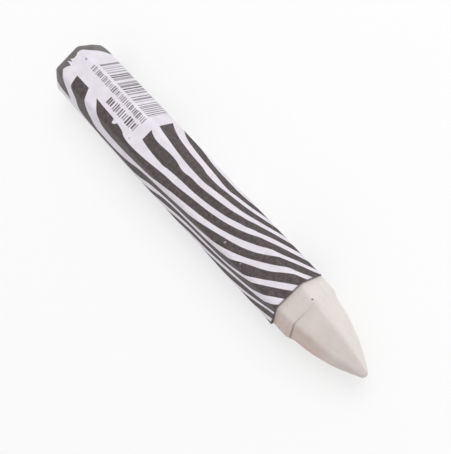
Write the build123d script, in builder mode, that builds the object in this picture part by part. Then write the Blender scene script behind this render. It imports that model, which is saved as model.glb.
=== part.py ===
from build123d import *
import math
import os

# Tire marking crayon: a hexagonal stick of cast wax in a rolled and glued paper wrapper.
#
# Millimetres. The stick lies on one of its flats, +X runs along it to the point and +Z is
# up. The origin is on the surface it lies on, under the middle of its length.

os.makedirs("parts", exist_ok=True)

# Wax stick
stick_length = 120.0  # flat butt to the end of the nose
across_flats = 15.6
edge_radius = 1.5  # along the stick's six edges
butt_rim_radius = 1.1
point_length = 20.8  # shoulder to the end of the nose
shoulder_step = 0.9  # the point's flats start this far inside the stick's flats
shoulder_radius = 0.75
point_slope = 4.0  # degrees between the point's flats and the axis, at the shoulder
point_edge_radius = 1.9  # along the point's six edges
nose_radius = 1.4
nose_flat = 0.7  # width of the small flat that ends the nose

# Paper wrapper
paper_thickness = 0.12
bare_collar = 6.0  # wax left uncovered between the wrapper and the shoulder
rear_setback = 0.3  # from the butt to the end of the margin that is turned in over its rim
lap_width = 6.0  # the glued seam, where the sheet lies on itself
LAP_FLAT = -30  # degrees from +Y towards +Z: the lower flat on the +Y side carries the seam

SIDES = 6
ROUNDEST = 0.85  # the most of a cross-section's half width that its corner radius may take
SIDE_STEPS = 5  # between the cross-sections that shape the point's long curve
NOSE_STEPS = 3  # and between those that shape its nose

flat_height = across_flats / 2
shoulder_distance = stick_length - point_length
butt_plane = Plane(
    origin=(-stick_length / 2, 0, flat_height + paper_thickness),
    x_dir=(0, 1, 0),
    z_dir=(1, 0, 0),
)


class RoundedHexagon(BaseSketchObject):
    """A hexagon with rounded corners, and flats above and below, flat_height from its centre."""

    def __init__(self, flat_height, corner_radius):
        with BuildSketch() as hexagon:
            RegularPolygon(flat_height, SIDES, major_radius=False)
            fillet(hexagon.vertices(), min(corner_radius, ROUNDEST * flat_height))
        super().__init__(hexagon.sketch)


def arc_stations(centre_along, centre_height, radius, start, end, steps):
    """Points at equal steps on an arc of the point's side outline.

    Each is a distance from the butt and a half width across flats. The angles are the
    slope of the outline, in radians.
    """
    stations = []
    for step in range(steps + 1):
        slope = start + (end - start) * step / steps
        along = centre_along + radius * math.sin(slope)
        stations.append((along, centre_height + radius * math.cos(slope)))
    return stations


# The side of the point is a long arc that leaves the shoulder at point_slope and runs
# without a corner into the circle of the nose.
base_slope = math.radians(point_slope)
base_height = flat_height - shoulder_step
nose_centre = stick_length - math.sqrt(nose_radius**2 - (nose_flat / 2) ** 2)
reach = nose_centre - shoulder_distance
side_radius = (reach**2 + base_height**2 - nose_radius**2) / (
    2 * (base_height * math.cos(base_slope) - reach * math.sin(base_slope) - nose_radius)
)
side_centre = shoulder_distance - side_radius * math.sin(base_slope)
side_drop = base_height - side_radius * math.cos(base_slope)
nose_slope = math.atan2(nose_centre - side_centre, -side_drop)
end_slope = math.acos(nose_flat / 2 / nose_radius)
side_arc = arc_stations(side_centre, side_drop, side_radius, base_slope, nose_slope, SIDE_STEPS)
nose_arc = arc_stations(nose_centre, 0, nose_radius, nose_slope, end_slope, NOSE_STEPS)

# The wax: a hexagonal stick with a rounded butt rim and a soft shoulder, and a curved point
# that keeps the six flats almost to its nose. All of it comes out of one mould.
with BuildPart() as wax_stick:
    with BuildSketch(butt_plane):
        RoundedHexagon(flat_height, edge_radius)
    extrude(amount=shoulder_distance)
    fillet(wax_stick.faces().sort_by(Axis.X).first.edges(), butt_rim_radius)
    fillet(wax_stick.faces().sort_by(Axis.X).last.edges(), shoulder_radius)
    for arc in (side_arc, nose_arc):
        for along, half_width in arc:
            with BuildSketch(butt_plane.offset(along)):
                RoundedHexagon(half_width, point_edge_radius)
        loft()

# The wrapper: one sheet rolled tight round the six flats and glued to itself along a lap
# seam. Its rear margin is turned in over the butt rim, and its front edge is cut square.
with BuildPart() as paper_wrapper:
    with BuildSketch(butt_plane.offset(-paper_thickness)):
        RoundedHexagon(flat_height + paper_thickness, edge_radius + paper_thickness)
    extrude(amount=shoulder_distance - bare_collar + paper_thickness)
    rear_face = paper_wrapper.faces().sort_by(Axis.X).first
    fillet(rear_face.edges(), butt_rim_radius + paper_thickness)
    with BuildSketch(butt_plane.offset(butt_rim_radius)):
        outer_layer = flat_height + paper_thickness + paper_thickness / 2
        with PolarLocations(outer_layer, 1, start_angle=LAP_FLAT):
            Rectangle(paper_thickness, lap_width)
    extrude(amount=shoulder_distance - bare_collar - butt_rim_radius)
    split(bisect_by=butt_plane.offset(rear_setback), keep=Keep.TOP)
    add(wax_stick.part, mode=Mode.SUBTRACT)

wax_stick.part.label = "wax_stick"
paper_wrapper.part.label = "paper_wrapper"
export_step(wax_stick.part, "parts/wax_stick.step")
export_step(paper_wrapper.part, "parts/paper_wrapper.step")
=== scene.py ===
import math

import bmesh
import bpy
from mathutils import Matrix, Vector, noise


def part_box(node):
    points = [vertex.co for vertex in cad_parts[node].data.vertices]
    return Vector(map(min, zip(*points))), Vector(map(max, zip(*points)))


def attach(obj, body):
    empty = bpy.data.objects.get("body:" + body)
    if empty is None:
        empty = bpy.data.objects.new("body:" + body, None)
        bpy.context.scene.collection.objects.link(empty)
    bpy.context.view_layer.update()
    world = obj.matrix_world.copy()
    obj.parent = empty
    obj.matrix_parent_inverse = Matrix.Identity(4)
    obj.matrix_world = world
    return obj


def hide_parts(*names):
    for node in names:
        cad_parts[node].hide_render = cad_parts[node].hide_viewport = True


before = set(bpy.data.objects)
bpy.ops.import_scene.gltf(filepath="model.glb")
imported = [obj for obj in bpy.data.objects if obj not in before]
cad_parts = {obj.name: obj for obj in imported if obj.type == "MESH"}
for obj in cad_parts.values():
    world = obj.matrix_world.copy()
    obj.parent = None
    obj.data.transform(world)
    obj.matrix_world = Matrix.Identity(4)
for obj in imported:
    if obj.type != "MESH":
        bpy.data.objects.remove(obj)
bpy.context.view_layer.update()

MM = 0.001

# ---------------------------------------------------------------------------------------
# Wax stick. One casting of white marking wax, hexagonal, with a rounded rim at the butt and
# a soft shoulder where the curved point begins. The point leans a little, one corner of the
# rim is knocked in, and the bare wax has picked up dust, smudges and scratches. Its colour
# also has painted light: a lighter +Y side, a painted warm reflection and shade on the -Y
# side, painted highlights on the collar's scratches, painted shade in the crease and a
# painted shadow at the paper's edge.

wax_low, wax_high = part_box("wax_stick")
paper_low, paper_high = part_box("paper_wrapper")
flat_height = (wax_high.z - wax_low.z) / 2
axis_height = (wax_high.z + wax_low.z) / 2
butt_x = wax_low.x
stick_length = wax_high.x - wax_low.x
wrapper_front = paper_high.x - butt_x
edge_radius = 1.5 * MM
rim_radius = 1.1 * MM
butt_dish = 0.25 * MM
knock_depth = 0.7 * MM
knock_reach = 4.2 * MM
knock_length = 4.5 * MM
collar_start = wrapper_front - 1 * MM
collar_inset = 0.1 * MM
point_length = 20.8 * MM
shoulder = stick_length - point_length
shoulder_step = 0.8 * MM
shoulder_back = 1.2 * MM
shoulder_front = 2.5 * MM
shoulder_skew = 0.7
point_slope = math.radians(4)
point_edge_radius = 1.9 * MM
nose_radius = 1.4 * MM
nose_flat = 0.7 * MM
nose_roundness = 0.85
point_lean = 0.46 * MM
crease_place = shoulder + 0.1 * MM
crease_depth = 0.1 * MM
crease_width = 0.26 * MM

# The straight and the rounded lengths of one sixth of the way round the wax
flat_length = 2 * (flat_height - edge_radius) * math.tan(math.radians(30))
bend_length = edge_radius * math.radians(60)
side_length = flat_length + bend_length
girth = 6 * side_length


def round_the_wax(around):
    """The wax's surface at a distance round it from the middle of its top flat, towards +Y.

    Gives the point that its corners are rounded from, and the way the surface faces.
    """
    side, past = divmod(around + flat_length / 2, side_length)
    turn = math.radians(60) * side
    bend = max(past - flat_length, 0) / edge_radius
    across = min(past, flat_length) - flat_length / 2
    deep = flat_height - edge_radius
    core = Vector((
        0,
        across * math.cos(turn) + deep * math.sin(turn),
        deep * math.cos(turn) - across * math.sin(turn),
    ))
    facing = Vector((0, math.sin(turn + bend), math.cos(turn + bend)))
    return core, facing


def lumps(place, size, height):
    """Soft unevenness: bumps about size across and up to height high, the same every time."""
    return height * noise.noise(place / size)


def swell(value, middle, reach):
    """1 at the middle, falling smoothly to 0 at reach from it."""
    off = min(abs(value - middle) / reach, 1)
    return 0.5 + 0.5 * math.cos(math.pi * off)


def finished_piece(name, shape):
    """A smooth-shaded piece from a bmesh whose faces are all there."""
    mesh = bpy.data.meshes.new(name)
    shape.to_mesh(mesh)
    shape.free()
    mesh.shade_smooth()
    piece = bpy.data.objects.new(name, mesh)
    bpy.context.scene.collection.objects.link(piece)
    return piece


# The sides of the point curve in from the shoulder and run smoothly into the round nose
base_height = flat_height - shoulder_step
nose_centre = stick_length - math.sqrt(nose_radius**2 - (nose_flat / 2) ** 2)
reach = nose_centre - shoulder
side_radius = (reach**2 + base_height**2 - nose_radius**2) / (
    2 * (base_height * math.cos(point_slope) - reach * math.sin(point_slope) - nose_radius)
)
side_centre = shoulder - side_radius * math.sin(point_slope)
side_drop = base_height - side_radius * math.cos(point_slope)
nose_slope = math.atan2(nose_centre - side_centre, -side_drop)
end_slope = math.acos(nose_flat / 2 / nose_radius)

# Each ring of the casting: its distance from the butt, half width and corner radius.
# First the sunken face of the butt and its rounded rim
rings = []
for step in range(1, 17):
    share = step / 17
    dish = butt_dish * (1 - share**2)
    rings.append((dish, share * (flat_height - rim_radius), share * (edge_radius - rim_radius)))
for step in range(9):
    lift = math.radians(90) * step / 8
    inset = rim_radius * (1 - math.sin(lift))
    rings.append((rim_radius * (1 - math.cos(lift)), flat_height - inset, edge_radius - inset))
# Then the length under the wrapper, the bare collar and the soft step of the shoulder
for step in range(1, 24):
    covered = rim_radius + (collar_start - rim_radius) * step / 23
    rings.append((covered, flat_height, edge_radius))
for step in range(1, 25):
    bare = collar_start + (shoulder - shoulder_back - collar_start) * step / 24
    rings.append((bare, flat_height - collar_inset, edge_radius))
for step in range(1, 41):
    distance = shoulder - shoulder_back + (shoulder_back + shoulder_front) * step / 40
    share = 0.5 - 0.5 * math.cos(math.pi * (step / 40) ** shoulder_skew)
    side = side_drop + math.sqrt(side_radius**2 - (distance - side_centre) ** 2)
    half_width = (flat_height - collar_inset) * (1 - share) + side * share
    rings.append((distance, half_width, edge_radius + (point_edge_radius - edge_radius) * share))
# Last the sides of the point, the round nose and the small flat on its end
start_slope = math.asin((shoulder + shoulder_front - side_centre) / side_radius)
for step in range(1, 61):
    slope = start_slope + (nose_slope - start_slope) * step / 60
    half_width = side_drop + side_radius * math.cos(slope)
    corner_radius = min(point_edge_radius, nose_roundness * half_width)
    rings.append((side_centre + side_radius * math.sin(slope), half_width, corner_radius))
for step in range(1, 11):
    slope = nose_slope + (end_slope - nose_slope) * step / 10
    half_width = nose_radius * math.cos(slope)
    distance = nose_centre + nose_radius * math.sin(slope)
    rings.append((distance, half_width, nose_roundness * half_width))
for share in (0.6, 0.1):
    half_width = share * nose_flat / 2
    rings.append((stick_length, half_width, nose_roundness * half_width))

ring_points = 180
casting = bmesh.new()
around_of = casting.verts.layers.float.new("around")
bmesh.ops.create_circle(casting, segments=ring_points, radius=flat_height)
for count, vert in enumerate(casting.verts):
    vert[around_of] = girth * (count / ring_points - 0.5)
ring_verts = casting.verts[:]
ring_edges = casting.edges[:]
for number, (distance, half_width, corner_radius) in enumerate(rings):
    if number > 0:
        grown = bmesh.ops.extrude_edge_only(casting, edges=ring_edges)["geom"]
        ring_verts = [part for part in grown if isinstance(part, bmesh.types.BMVert)]
        ring_edges = [part for part in grown if isinstance(part, bmesh.types.BMEdge)]
        ring_edges = [part for part in ring_edges if part.is_boundary]
    shrunk = (half_width - corner_radius) / (flat_height - edge_radius)
    for vert in ring_verts:
        core, facing = round_the_wax(vert[around_of])
        vert.co = core * shrunk + facing * corner_radius
        vert.co.x = distance
open_edges = [part for part in casting.edges if part.is_boundary]
bmesh.ops.holes_fill(casting, edges=open_edges)


def knocked_in(distance, around):
    """How far the butt's rim is knocked in, at its corner on the +Y side."""
    dying_away = max(1 - distance / knock_length, 0) ** 2
    return knock_depth * swell(around, 1.5 * side_length, knock_reach) * dying_away


# The mould's unevenness, which is left out under the wrapper, where the wax lies a little
# deeper to stay inside the paper, and a crease round the shoulder that dies away towards +Y
uneven_sink = 0.04 * MM
covered_sink = 0.06 * MM
for vert in casting.verts:
    distance = vert.co.x
    around = vert[around_of]
    core, facing = round_the_wax(around)
    bare = min(max((distance - collar_start) / (1 * MM), 0), 1)
    uneven = lumps(vert.co, 5 * MM, 0.07 * MM) + lumps(vert.co, 1.7 * MM, 0.03 * MM)
    crease_here = min(max(0.4 - vert.co.y / (9 * MM), 0), 1)
    crease = crease_depth * crease_here * swell(distance, crease_place, crease_width)
    vert.co += facing * (uneven - uneven_sink - crease) * bare
    if distance > rim_radius:
        vert.co -= facing * covered_sink * (1 - bare)
    from_middle = min(math.hypot(vert.co.y, vert.co.z) / flat_height, 1)
    vert.co -= facing * knocked_in(distance, around) * from_middle**4
    on_butt = min(max((0.4 * MM - distance) / (0.3 * MM), 0), 1)
    butt_lumps = lumps(Vector((0, vert.co.y, vert.co.z)), 3 * MM, 0.06 * MM)
    vert.co.x += on_butt * (0.05 * MM + butt_lumps)
    past_shoulder = max(distance - shoulder, 0) / (stick_length - shoulder)
    wander = lumps(vert.co + Vector((20 * MM, 0, 0)), 3 * MM, 0.16 * MM) * bare
    vert.co.x += wander * (1 - past_shoulder)
    vert.co.y -= point_lean * past_shoulder
    vert.co += Vector((butt_x, 0, axis_height))
casting.verts.layers.float.remove(around_of)
bmesh.ops.recalc_face_normals(casting, faces=casting.faces[:])
wax_stick = finished_piece("cast_wax_stick", casting)


class Socket:
    """A shader value that takes arithmetic: each operation on it adds a Math node."""

    def __init__(self, finish, output):
        self.finish = finish
        self.output = output

    def math(self, operation, *values):
        inputs = dict(enumerate(values))
        return self.finish.node("ShaderNodeMath", {"operation": operation}, inputs)

    def __add__(self, other):
        return self.math("ADD", self, other)

    def __radd__(self, other):
        return self.math("ADD", other, self)

    def __sub__(self, other):
        return self.math("SUBTRACT", self, other)

    def __rsub__(self, other):
        return self.math("SUBTRACT", other, self)

    def __mul__(self, other):
        return self.math("MULTIPLY", self, other)

    def __rmul__(self, other):
        return self.math("MULTIPLY", other, self)

    def __truediv__(self, other):
        return self.math("DIVIDE", self, other)

    def __abs__(self):
        return self.math("ABSOLUTE", self)

    def smaller(self, other):
        return self.math("MINIMUM", self, other)

    def larger(self, other):
        return self.math("MAXIMUM", self, other)

    def floor(self):
        return self.math("FLOOR", self)

    def clamped(self):
        return self.larger(0.0).smaller(1.0)

    def near(self, middle, reach):
        """1 at the middle, falling to 0 at reach from it."""
        return (1.0 - abs(self - middle) / reach).larger(0.0)

    def named(self, name):
        """Another output of the same node."""
        return Socket(self.finish, self.output.node.outputs[name])


class Finish:
    """A material that is being written, with one method that adds any node."""

    def __init__(self, name):
        self.material = bpy.data.materials.new(name)
        self.material.use_nodes = True
        self.tree = self.material.node_tree
        self.shader = self.tree.nodes["Principled BSDF"]

    def node(self, kind, settings, sockets, out=0):
        made = self.tree.nodes.new(kind)
        for name, value in settings.items():
            if name == "line":
                self.draw(made.mapping, value)
            else:
                setattr(made, name, value)
        for name, value in sockets.items():
            self.feed(made.inputs[name], value)
        return Socket(self, made.outputs[out])

    def draw(self, mapping, line):
        """Puts a curve's points where they are asked for, and rounds it between them."""
        points = mapping.curves[0].points
        while len(points) < len(line):
            points.new(0, 0)
        for point, (across, up) in zip(points, line):
            point.location = (across, up)
            point.handle_type = "AUTO_CLAMPED"
        mapping.update()

    def feed(self, place, value):
        if isinstance(value, Socket):
            self.tree.links.new(value.output, place)
        else:
            place.default_value = value

    def blend(self, share, first, second):
        """A colour between two others, by share from 0 to 1."""
        inputs = {0: share, 6: first, 7: second}
        return self.node("ShaderNodeMix", {"data_type": "RGBA"}, inputs, out=2)

    def noise(self, place, size, detail=2.0):
        """Cloudy noise about 0.5, whose features are about size across."""
        inputs = {"Vector": place, "Scale": 1 / size, "Detail": detail}
        return self.node("ShaderNodeTexNoise", {}, inputs)

    def set(self, **values):
        """Sets sockets of the shader itself, each by its name with _ for a space."""
        for name, value in values.items():
            self.feed(self.shader.inputs[name.replace("_", " ")], value)


def colour(red, green, blue):
    """A colour written as it is seen, from 0 to 255, as the shader wants it."""
    linear = [((part / 255 + 0.055) / 1.055) ** 2.4 for part in (red, green, blue)]
    return (*linear, 1.0)


def on_the_wax(distance, around):
    """Where the bare collar's surface is, at a distance from the butt and round from the top."""
    core, facing = round_the_wax(around)
    surface = core + facing * (edge_radius - collar_inset)
    return surface + Vector((butt_x + distance, 0, axis_height))


def within(value, low, high):
    """How far a value is inside its limits."""
    return (value - low).smaller(high - value)


wax = Finish("cast marking wax")
place = wax.node("ShaderNodeTexCoord", {}, {}).named("Object")
spot = wax.node("ShaderNodeSeparateXYZ", {}, {0: place})
length_way = spot.named("X") - butt_x
side_way = spot.named("Y")
up_way = spot.named("Z") - axis_height
clouds = wax.noise(place, 6 * MM)
freckles = wax.noise(place, 0.8 * MM, 4.0)
handled = wax.blend(((clouds - 0.35) * 3.0).clamped(), colour(211, 201, 196), colour(216, 207, 203))
# The +Y side is painted lighter: a painted highlight on the side the lamp lights most
turn = wax.node("ShaderNodeMath", {"operation": "ARCTAN2"}, {0: side_way, 1: up_way})
off_the_butt = (length_way / (8 * MM) - 0.3).clamped()
painted_lit_side = ((1.2 - abs(turn - math.radians(90))) * 4.0).clamped() * off_the_butt
body = wax.blend(painted_lit_side, handled, colour(227, 221, 217))

# Warm smudges on the -Y side, partly real and partly a painted warm reflection and shade,
# strongest as a painted warm reflection along the first half of the upper -Y edge of the
# point, and greyer near the tip on the -Y side
low_side = within(turn, math.radians(-115), math.radians(-24)) * 2.5
low_side = low_side.clamped() * off_the_butt
tipward = ((length_way - 106 * MM) / (8 * MM)).clamped()
wax_mottle = ((wax.noise(place, 3.5 * MM, 3.0) - 0.42) * 4.0).clamped()
# The -Y side: partly warm smudges, partly a painted warm reflection and painted shade
smudges_and_painted_reflection = (0.42 + wax_mottle * 0.33) * low_side * (1.0 - tipward * 0.8)
body = wax.blend(smudges_and_painted_reflection, body, colour(196, 160, 146))
# A painted warm reflection along the upper -Y edge of the point, mottled
ridge_painted_reflection = length_way.near(104 * MM, 9 * MM) * turn.near(-0.62, 0.3)
body = wax.blend(ridge_painted_reflection * (0.3 + wax_mottle * 0.4), body, colour(190, 172, 156))
# Greyer towards the tip on the -Y side, mottled
tip_greying = length_way.near(116 * MM, 5 * MM) * turn.near(-0.9, 0.7)
body = wax.blend(tip_greying * (0.1 + wax_mottle * 0.3), body, colour(168, 158, 160))

# Dust in the sunken butt, and small dark pits
butt_dust = ((wax.noise(place, 2.4 * MM, 4.0) - 0.44) * 5.0).clamped() * (1.0 - off_the_butt)
body = wax.blend(butt_dust * 0.4, body, colour(184, 172, 162))
pits = ((wax.noise(place, 0.7 * MM, 2.0) - 0.7) * 12.0).clamped() * (1.0 - off_the_butt)
body = wax.blend(pits * 0.6, body, colour(120, 108, 102))

# Fine scratches round the collar with painted highlights along them, and streaks along the
# stick, then painted shade in the crease and a painted shadow on the wax at the paper's edge
stretched = wax.node(
    "ShaderNodeMapping", {}, {"Vector": place, "Scale": (1, 0.16, 0.16), "Rotation": (0, 0, 0.08)}
)
scratch = ((wax.noise(stretched, 0.55 * MM, 3.0) - 0.57) * 10.0).clamped()
on_collar = length_way.near(97.0 * MM, 3.0 * MM)
body = wax.blend(scratch * on_collar * low_side * 0.85, body, colour(134, 110, 100))
# Lighter streaks on the -Y side of the collar: painted highlights on the scratches
scratch_painted_highlights = ((wax.noise(stretched, 0.8 * MM, 2.0) - 0.54) * 9.0).clamped()
body = wax.blend(scratch_painted_highlights * on_collar * low_side * 0.5, body, colour(226, 206, 196))
lengthways = wax.node("ShaderNodeMapping", {}, {"Vector": place, "Scale": (0.2, 1, 1)})
streaks = ((wax.noise(lengthways, 0.9 * MM, 3.0) - 0.56) * 8.0).clamped()
body = wax.blend(streaks * off_the_butt * 0.12, body, colour(182, 170, 164))
# Painted shade in the shoulder's crease, wider and darker on the -Y side
wavering = length_way + (wax.noise(place, 1.5 * MM) - 0.5) * (0.25 * MM)
crease_here = (0.4 - side_way / (9 * MM)).clamped()
crease_off = abs(wavering - low_side * (0.15 * MM) - crease_place)
crease = (1.0 - crease_off / ((0.34 + low_side * 0.12) * MM)).larger(0.0)
body = wax.blend(crease * crease_here * (0.45 + low_side * 0.45), body, colour(112, 96, 88))
# A painted shadow on the wax where the paper's front edge stands off it
paper_painted_shadow = length_way.near(wrapper_front, 0.7 * MM) * 0.85
paper_painted_shadow = paper_painted_shadow.larger(length_way.near(wrapper_front, 2.0 * MM) * 0.22)
body = wax.blend(paper_painted_shadow, body, colour(92, 85, 84))


def wax_speck(distance, around, size):
    """1 inside a speck of a size on the bare collar."""
    off = wax.node("ShaderNodeVectorMath", {"operation": "DISTANCE"}, {
        0: place, 1: on_the_wax(distance, around),
    }, out=1)
    return ((1.0 - off / (size / 2)) * 2.5).clamped()


body = wax.blend(wax_speck(98.25 * MM, 3.7 * MM, 0.6 * MM) * 0.85, body, colour(56, 50, 50))
body = wax.blend(wax_speck(98.05 * MM, 3.55 * MM, 0.5 * MM) * 0.5, body, colour(70, 62, 60))
body = wax.blend(wax_speck(98.5 * MM, 5.0 * MM, 0.8 * MM) * 0.5, body, colour(236, 230, 224))

grain = wax.node("ShaderNodeBump", {}, {
    "Strength": 0.35, "Distance": 0.05 * MM, "Height": freckles + clouds * 2.0 - scratch,
})
wax.set(
    Base_Color=body,
    Roughness=0.46 + (freckles - 0.5) * 0.2,
    Normal=grain,
    Subsurface_Weight=0.3,
    Subsurface_Radius=(1.0, 0.85, 0.7),
    Subsurface_Scale=1.2 * MM,
)
wax_stick.data.materials.append(wax.material)
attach(wax_stick, "root")
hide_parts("wax_stick")


# ---------------------------------------------------------------------------------------
# Paper wrapper. One printed sheet, rolled round the six flats and glued to itself along a
# seam on the lower flat on the +Y side, with its rear margin turned in over the rim. It is
# slack along its upper -Y edge, and its front edge stands off the wax.

paper_thickness = wax_low.z - paper_low.z
lap_width = 6.0 * MM
lap_rise = paper_thickness + 0.04 * MM
slack_rise = 0.38 * MM
front_spring = 0.09 * MM
margin_spring = 0.26 * MM
seam_middle = 2 * side_length
sheet_end = seam_middle + lap_width / 2
sheet_width = girth + lap_width
sheet_start = sheet_end - sheet_width
inner_end = sheet_end - lap_width
rear_setback = paper_low.x - butt_x
turned_in = rim_radius * math.asin(1 - rear_setback / rim_radius)
sheet_rear = rim_radius - turned_in
sheet_length = wrapper_front - sheet_rear

sheet = bmesh.new()
sheet.loops.layers.uv.new("sheet")
bmesh.ops.create_grid(sheet, x_segments=156, y_segments=200, size=1, calc_uvs=True)
for vert in sheet.verts:
    along = sheet_rear + sheet_length * (vert.co.x + 1) / 2
    around = sheet_start + sheet_width * (vert.co.y + 1) / 2
    core, facing = round_the_wax(around)
    flat_place = Vector((along, around, 0))
    # the flats are pulled tight, the upper -Y edge less so
    height = lumps(flat_place, 9 * MM, 0.03 * MM) - 0.03 * MM
    slack = swell(around, -1.5 * side_length, 5 * MM) * (1 - swell(along, 0, 26 * MM))
    height += slack * (slack_rise + lumps(flat_place, 14 * MM, 0.06 * MM))
    # the outer end of the sheet climbs onto the inner end
    on_lap = min(max((around - inner_end) / (0.9 * MM) + 1, 0), 1)
    height += on_lap * lap_rise
    # the front edge and the turned-in margin spring away a little, but not underneath
    free = min(1 + facing.z, 1)
    near_front = max(1 - (wrapper_front - along) / (2.2 * MM), 0)
    height += free * near_front**2 * (front_spring + lumps(flat_place, 4 * MM, 0.09 * MM))
    bend = max(rim_radius - along, 0) / rim_radius
    height += free * margin_spring * bend * (1 - max(facing.y, 0))
    distance = max(along, rim_radius) - (rim_radius + height) * math.sin(bend)
    inset = rim_radius * (1 - math.cos(bend)) + knocked_in(distance, around)
    vert.co = core + facing * (edge_radius - inset + height * math.cos(bend))
    vert.co += Vector((butt_x + distance, 0, axis_height))
bmesh.ops.recalc_face_normals(sheet, faces=sheet.faces[:])
paper_wrapper = finished_piece("rolled_paper_wrapper", sheet)
thickness = paper_wrapper.modifiers.new("paper thickness", "SOLIDIFY")
thickness.thickness = paper_thickness
thickness.offset = 1

paper = Finish("printed wrapper paper")
flat = paper.node("ShaderNodeUVMap", {"uv_map": "sheet"}, {})
axes = paper.node("ShaderNodeSeparateXYZ", {}, {0: flat})

# The print is laid out in millimetres on the flat sheet: along it from the butt, and round
# it from the middle of the top flat, towards +Y.
along = axes.named("X") * (sheet_length / MM) + sheet_rear / MM
around = axes.named("Y") * (sheet_width / MM) + sheet_start / MM
spread = paper.node("ShaderNodeCombineXYZ", {}, {"X": along, "Y": around})
fibres = paper.noise(spread, 0.35, 3.0)
ragged = (paper.noise(spread, 0.9, 3.0) - 0.5) * 0.42


def edge(run, points):
    """One edge of a stripe: a smooth line through points (at, value), read off at run."""
    start = points[0][0]
    length = points[-1][0] - start
    lowest = min(value for at, value in points)
    height = max(value for at, value in points) - lowest + 0.001
    line = [((at - start) / length, (value - lowest) / height) for at, value in points]
    drawn = paper.node("ShaderNodeFloatCurve", {"line": line}, {1: (run - start) / length})
    return drawn * height + lowest


def stripe(points):
    """How far inside a lengthwise stripe a place is. Each point is (along, upper, lower)."""
    upper = edge(along, [(at, high) for at, high, low in points])
    lower = edge(along, [(at, low) for at, high, low in points])
    return (upper - around).smaller(around - lower).smaller(along - points[0][0])


def cross_stripe(points):
    """The same for a stripe across the sheet. Each point is (around, rear, front)."""
    rear = edge(around, [(at, low) for at, low, high in points])
    front = edge(around, [(at, high) for at, low, high in points])
    inside = (front - along).smaller(along - rear)
    return inside.smaller(within(around, points[0][0], points[-1][0]))


# The stripes, from the +Y side over the top to the -Y side. The rear band lies across them.
inked = cross_stripe([
    (-11.1, 6.9, 6.95), (-10.8, 4.9, 6.8), (-10.6, 3.3, 6.6), (-10.2, 1.9, 6.3), (-9.6, 1.1, 6.0),
    (-9, 0.5, 5.7), (-7.8, -0.5, 4.9), (-6.4, -1, 4.1), (-4.6, -1, 3.3), (-3.7, -1, 2.6),
    (-2.9, -1, 2.0), (-1.8, -1, 2.3), (-1.1, -1, 2.7), (-0.85, -1, 2.9), (-0.6, -1, 1.7),
    (-0.25, -1, 1.6), (0, -1, 2.3), (0.2, -1, 2.3), (0.4, -1, 1.4), (0.7, -1, 1.7), (1.4, -1, 2.0),
    (2.2, -1, 2.0), (3, -1, 1.6), (4.1, -1, 1.8), (5, -1, 2.2), (7, -1, 2.8), (9.2, -1, 3.3),
    (10.9, -1, 4.1), (12.6, -1, 5.4), (15, -0.5, 7.5), (18, 2.5, 10), (21.5, 6, 13),
])
inked = inked.larger(cross_stripe([
    (-12.3, 19, 40), (-12.05, 14, 29), (-11.7, 12, 25), (-11, 10.6, 18.7), (-9.6, 9.8, 16.3),
    (-8, 9.1, 14.6), (-7, 8.3, 14.0), (-5.7, 7.5, 13.6), (-4.4, 7.1, 13.2), (-2.9, 6.8, 12.5),
    (-1.4, 6.5, 11.8),
]))
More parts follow.
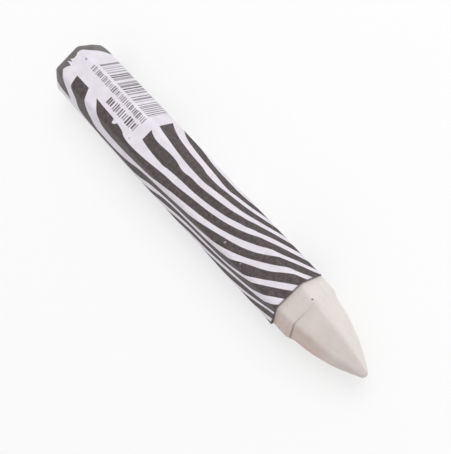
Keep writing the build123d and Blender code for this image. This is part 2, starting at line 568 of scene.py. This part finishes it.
STRIPES = (
    [(-4, 24, 22), (20, 20.5, 18.6), (34, 17.6, 15.0), (38, 15.4, 12.8), (41, 13.8, 11.2),
     (46, 12.8, 10.2), (55, 11.6, 9.3), (59.5, 11.6, 8.85), (63, 11.8, 9.7), (67, 12.6, 10.8),
     (73, 14.4, 13.1), (80, 17.5, 16.2), (94, 24, 22)],
    [(34.3, 11.6, 6.0), (37, 10.0, 5.3), (40, 8.9, 4.8), (46, 7.8, 4.1), (51, 7.4, 3.9),
     (54.5, 6.7, 3.9), (58, 6.9, 4.3), (61, 7.6, 4.8), (67, 9.2, 6.4), (73, 11.6, 9.4),
     (79, 14.2, 12.7), (86, 17.5, 15.8), (94, 21.5, 20)],
    [(34.2, 3.3, -0.3), (35.5, 2.7, -0.5), (38, 2.3, -0.8), (43.5, 2.6, -1.0), (45.5, 2.5, -0.7),
     (49, 1.9, -0.3), (52, 2.3, -0.1), (55, 2.4, 0.1), (61, 3.2, 0.9), (67, 4.3, 2.2), (70, 5.4, 3.2),
     (73, 7.4, 4.2), (79, 11.1, 8.6), (85, 14.4, 12.5), (94, 20, 17.8)],
    [(15.8, -1.75, -1.85), (19, -1.9, -4.8), (22, -2.0, -7.6), (25, -2.2, -8.1), (28, -2.7, -8.2),
     (30, -3.5, -8.1), (33, -3.7, -7.9), (37, -3.5, -7.4), (43, -2.8, -6.4), (46, -2.4, -5.2),
     (50, -2.1, -4.3), (55, -1.4, -3.6), (64, 0.0, -2.2), (70, 1.6, -0.6), (76, 4.2, 1.8),
     (82, 8.5, 5.2), (88, 12.6, 10.2), (94, 16.6, 14.8)],
    [(20, -11.2, -12.1), (25, -11.3, -12.2), (31, -10.9, -12.2), (34, -10.2, -12.3),
     (37, -9.2, -12.0), (43, -7.9, -10.1), (52, -6.3, -8.2), (61, -4.4, -6.9), (70, -2.1, -4.6),
     (76, -0.2, -2.5), (82, 3.2, 0.7), (88, 8.4, 4.8), (94, 13.4, 10.2)],
    [(30, -14.4, -14.7), (38, -13.2, -14.2), (43, -11.9, -13.1), (49, -9.8, -11.6),
     (58, -8.45, -9.85), (67, -7.35, -9.05), (73, -5.75, -8.2), (79, -2.7, -5.95),
     (85, 0.5, -2.4), (88, 2.9, -0.2), (94, 7.6, 4.1)],
    [(16, -16.4, -17.6), (30, -15.6, -17.0), (46, -13.6, -14.8), (58, -11.0, -12.3),
     (67, -9.95, -11.35), (76, -8.3, -9.7), (82, -5.7, -8.45), (88, -2.1, -4.9), (94, 2.1, -0.8)],
    [(-4, -18.6, -20.6), (20, -18.8, -20.8), (40, -17.2, -18.8), (60, -13.7, -15.1), (70, -12.0, -13.5),
     (79, -10.2, -12.1), (88, -7.45, -9.35), (91, -5.2, -8.0), (94, -2.8, -6.4)],
    [(-4, -23.4, -25.6), (30, -21.5, -23.5), (50, -18.5, -20.2), (70, -15.2, -16.8), (79, -13.3, -15.0),
     (85, -11.5, -13.0), (91, -8.95, -11.3), (94, -7.5, -9.8)],
    [(-4, -28.2, -30.0), (20, -26.4, -28.2), (50, -22.4, -24.4), (70, -18.8, -20.4), (79, -17.2, -18.6),
     (88, -14.0, -15.6), (94, -11.6, -13.4)],
)
for points in STRIPES:
    inked = inked.larger(stripe(points))
# round the underside they repeat, each a little further back than the last
row_spacing = 3.9
for row in range(1, 6):
    down = row_spacing * row
    thinner = 0.3 * (row % 2)
    points = [(at, high - down, low - down + thinner) for at, high, low in STRIPES[-1]]
    inked = inked.larger(stripe(points))

# Small flecks with torn edges, where the ink is missing or the paper is stained
TORN = 0.5
tearing = paper.node("ShaderNodeTexNoise", {}, {"Vector": spread, "Scale": 2.2, "Detail": 3.0})
tearing = tearing.named("Color")
torn_place = paper.node("ShaderNodeVectorMath", {"operation": "MULTIPLY_ADD"}, {
    0: tearing, 1: (TORN, TORN, 0), 2: spread,
})


def fleck(at_along, at_around, size):
    """How far inside a ragged fleck of a size a place is."""
    middle = (at_along + TORN / 2, at_around + TORN / 2, 0)
    off = paper.node("ShaderNodeVectorMath", {"operation": "DISTANCE"}, {
        0: torn_place, 1: middle,
    }, out=1)
    return size / 2 - off


for bare_fleck in (
    fleck(24.45, -2.8, 0.9), fleck(24.85, -2.4, 1.0), fleck(24.1, -2.2, 0.6), fleck(1.45, -0.5, 0.3),
):
    inked = inked.smaller(0.0 - bare_fleck)
covered = ((inked + ragged * 0.3) * 8.0 + 0.5).clamped()
for thin_fleck, share in (
    (fleck(71.3, -2.6, 0.55), 0.6), (fleck(71.2, -3.0, 0.45), 0.5), (fleck(78.3, -3.6, 0.5), 0.35),
):
    covered = covered * (1.0 - (thin_fleck * 8.0).clamped() * share)


def chance(value, seed):
    """A number from 0 to 1 that is different for each whole value."""
    return paper.node("ShaderNodeTexWhiteNoise", {"noise_dimensions": "1D"}, {"W": value + seed})


# A block of plain bars: each narrow strip of it is inked or left bare by chance. The ink
# is weaker or stronger by chance from each few strips to the next, and stronger forwards
strip = 0.24
block_start = 8.7
block_end = block_start + 91 * strip
into_block = along - block_start
bars = ((chance((into_block / strip).floor(), 161.5) - 0.5) * 20.0).clamped()
strength = 0.35 + 0.45 * chance((into_block / (5 * strip)).floor(), 7.5)
bars = bars * (strength + into_block * 0.018).clamped()
block = within(along, block_start, block_end).smaller(within(around, 5.2, 17.5))
marks = bars * (block * 14.0 + 0.5).clamped()


def row_of_strokes(start, end, low, high, pitch, seed):
    """Strokes in a row in place of words, each of its own width, height, place and weight."""
    count = (along - start) / pitch
    each = count.floor()
    wide = pitch * (0.15 + 0.2 * chance(each, seed))
    tall = (high - low) / 2 * (0.7 + 0.3 * chance(each, seed + 0.7))
    shifted = count - each - 0.5 + 0.34 * (chance(each, seed + 0.3) - 0.5)
    across = wide - abs(shifted) * pitch
    inside = across.smaller(tall - abs(around - (low + high) / 2))
    inside = inside.smaller(within(along, start, end))
    weight = 0.75 + 0.25 * chance(each, seed + 0.9)
    return (inside * 14.0 + 0.5).clamped() * weight


marks = marks.larger(row_of_strokes(8.0, 31.04, 2.4, 4.4, 0.64, 1.5) * 0.85)
marks = marks.larger(row_of_strokes(18.4, 30.7, -0.9, 1.7, 0.82, 5.5))
covered = covered.larger(marks)

# The ink is mottled and speckled, and paler over the rim and on both rear sides, partly from
# wear and partly a painted sheen and reflection where the light falls
patches = paper.noise(spread, 3.0, 3.0)
mottle = (paper.noise(spread, 1.1, 4.0) + fibres) / 2.0
ink_tone = paper.blend(((mottle - 0.4) * 5.0).clamped(), colour(52, 42, 43), colour(86, 74, 74))
# Paler ink: partly wear, partly painted sheen on the rim and painted reflection on the rear sides
wear_and_painted_sheen = (1.0 - (along + ragged * 2.0) / 4.5).clamped() * 0.85
wear_and_painted_sheen = wear_and_painted_sheen.larger(((around - 5.0) / 4.0).clamped() * (1.5 - along / 8.0).clamped() * 0.7)
wear_and_painted_sheen = wear_and_painted_sheen.larger((0.0 - around / 4.0 - 2.0).clamped() * (1.0 - along / 24.0).clamped() * 0.5)
ink_tone = paper.blend(wear_and_painted_sheen, ink_tone, colour(124, 119, 118))
light_flecks = ((paper.noise(spread, 0.5, 2.0) - 0.69) * 12.0).clamped()
ink_tone = paper.blend(light_flecks * 0.5, ink_tone, colour(170, 164, 164))

# The paper is cloudy, with a few grey flecks, two stains, and a darker front edge that is
# partly a grey cut edge and partly painted shade
clouded = ((patches - 0.4) * 4.0).clamped()
paper_tone = paper.blend(clouded, colour(225, 219, 228), colour(233, 228, 236))
paper_tone = paper.blend(((mottle - 0.52) * 6.0).clamped() * 0.3, paper_tone, colour(208, 201, 211))
grey_flecks = ((paper.noise(spread, 0.6, 2.0) - 0.7) * 10.0).clamped()
paper_tone = paper.blend(grey_flecks * 0.35, paper_tone, colour(150, 145, 155))
rear_stain = (fleck(4.95, 3.55, 0.9) * 8.0).clamped()
paper_tone = paper.blend(rear_stain * 0.7, paper_tone, colour(120, 112, 128))
front_stain = (fleck(31.2, -2.6, 0.9) * 8.0).clamped()
paper_tone = paper.blend(front_stain * 0.3, paper_tone, colour(150, 125, 150))
print_tone = paper.blend(covered, paper_tone, ink_tone)
# A darker front edge: partly the grey cut edge, partly painted shade where it stands off the wax
cut_edge_and_shade = (1.0 - (wrapper_front / MM - along) / 0.3).clamped()
print_tone = paper.blend(cut_edge_and_shade * 0.6, print_tone, colour(104, 96, 96))
tooth = paper.node("ShaderNodeBump", {}, {
    "Strength": 0.5, "Distance": 0.012 * MM, "Height": fibres + covered * 0.3,
})
paper.set(
    Base_Color=print_tone,
    Roughness=0.62 - covered * 0.1 + (fibres - 0.5) * 0.1,
    Normal=tooth,
)
paper_wrapper.data.materials.append(paper.material)
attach(paper_wrapper, "root")
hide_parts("paper_wrapper")


# ---------------------------------------------------------------------------------------
# Bench. The pale matt top that the crayon lies on, with a soft lamp high on the +Y side, an
# even sky, and the camera over the point.

bench_shape = bmesh.new()
bmesh.ops.create_grid(bench_shape, x_segments=1, y_segments=1, size=3)
bench = finished_piece("bench", bench_shape)
top = Finish("pale bench")
top.set(Base_Color=colour(250, 250, 250), Roughness=0.9)
rays = top.node("ShaderNodeLightPath", {}, {})
seen = rays.named("Is Camera Ray").larger(rays.named("Is Glossy Ray"))
seen = seen.larger(rays.named("Is Transmission Ray"))
glow = top.node("ShaderNodeEmission", {}, {"Color": (1, 1, 1, 1), "Strength": 1.0})
plain = Socket(top, top.shader.outputs[0])
shadowed = top.node("ShaderNodeMixShader", {}, {0: seen * 0.55, 1: plain, 2: glow})
top.feed(top.tree.nodes["Material Output"].inputs["Surface"], shadowed)
bench.data.materials.append(top.material)

# The sky lights the object at one level, and is white itself where it is seen
sky_light = 0.71
sky_seen = 1.0
world = bpy.data.worlds.new("studio")
world.use_nodes = True
sky = world.node_tree
rays = sky.nodes.new("ShaderNodeLightPath")
seen = rays.outputs["Is Camera Ray"]
for other_rays in ("Is Glossy Ray", "Is Transmission Ray"):
    either = sky.nodes.new("ShaderNodeMath")
    either.operation = "MAXIMUM"
    sky.links.new(seen, either.inputs[0])
    sky.links.new(rays.outputs[other_rays], either.inputs[1])
    seen = either.outputs[0]
level = sky.nodes.new("ShaderNodeMix")
level.inputs[2].default_value = sky_light
level.inputs[3].default_value = sky_seen
sky.links.new(seen, level.inputs[0])
sky.links.new(level.outputs[0], sky.nodes["Background"].inputs["Strength"])
sky.nodes["Background"].inputs["Color"].default_value = (1, 1, 1, 1)
bpy.context.scene.world = world

middle = Vector((0, 0, axis_height))
softbox = bpy.data.lights.new("softbox", "AREA")
softbox.shape = "SQUARE"
softbox.size = 0.5
softbox.energy = 1.9
lamp = bpy.data.objects.new("softbox", softbox)
lamp.location = middle + Vector((-0.06, 0.36, 0.62))
lamp.rotation_euler = (middle - lamp.location).to_track_quat("-Z", "Y").to_euler()
bpy.context.scene.collection.objects.link(lamp)

lens = bpy.data.cameras.new("camera")
lens.lens = 95.15
lens.clip_start = 0.01
camera = bpy.data.objects.new("camera", lens)
right = Vector((0.6418, 0.7022, -0.3083))
up = Vector((-0.6898, 0.7042, 0.1680))
held = Matrix((right, up, right.cross(up))).transposed().to_4x4()
camera.matrix_world = Matrix.Translation((0.11205, 0.03249, 0.30528)) @ held
bpy.context.scene.collection.objects.link(camera)
bpy.context.scene.camera = camera
bpy.context.scene.view_settings.view_transform = "Standard"
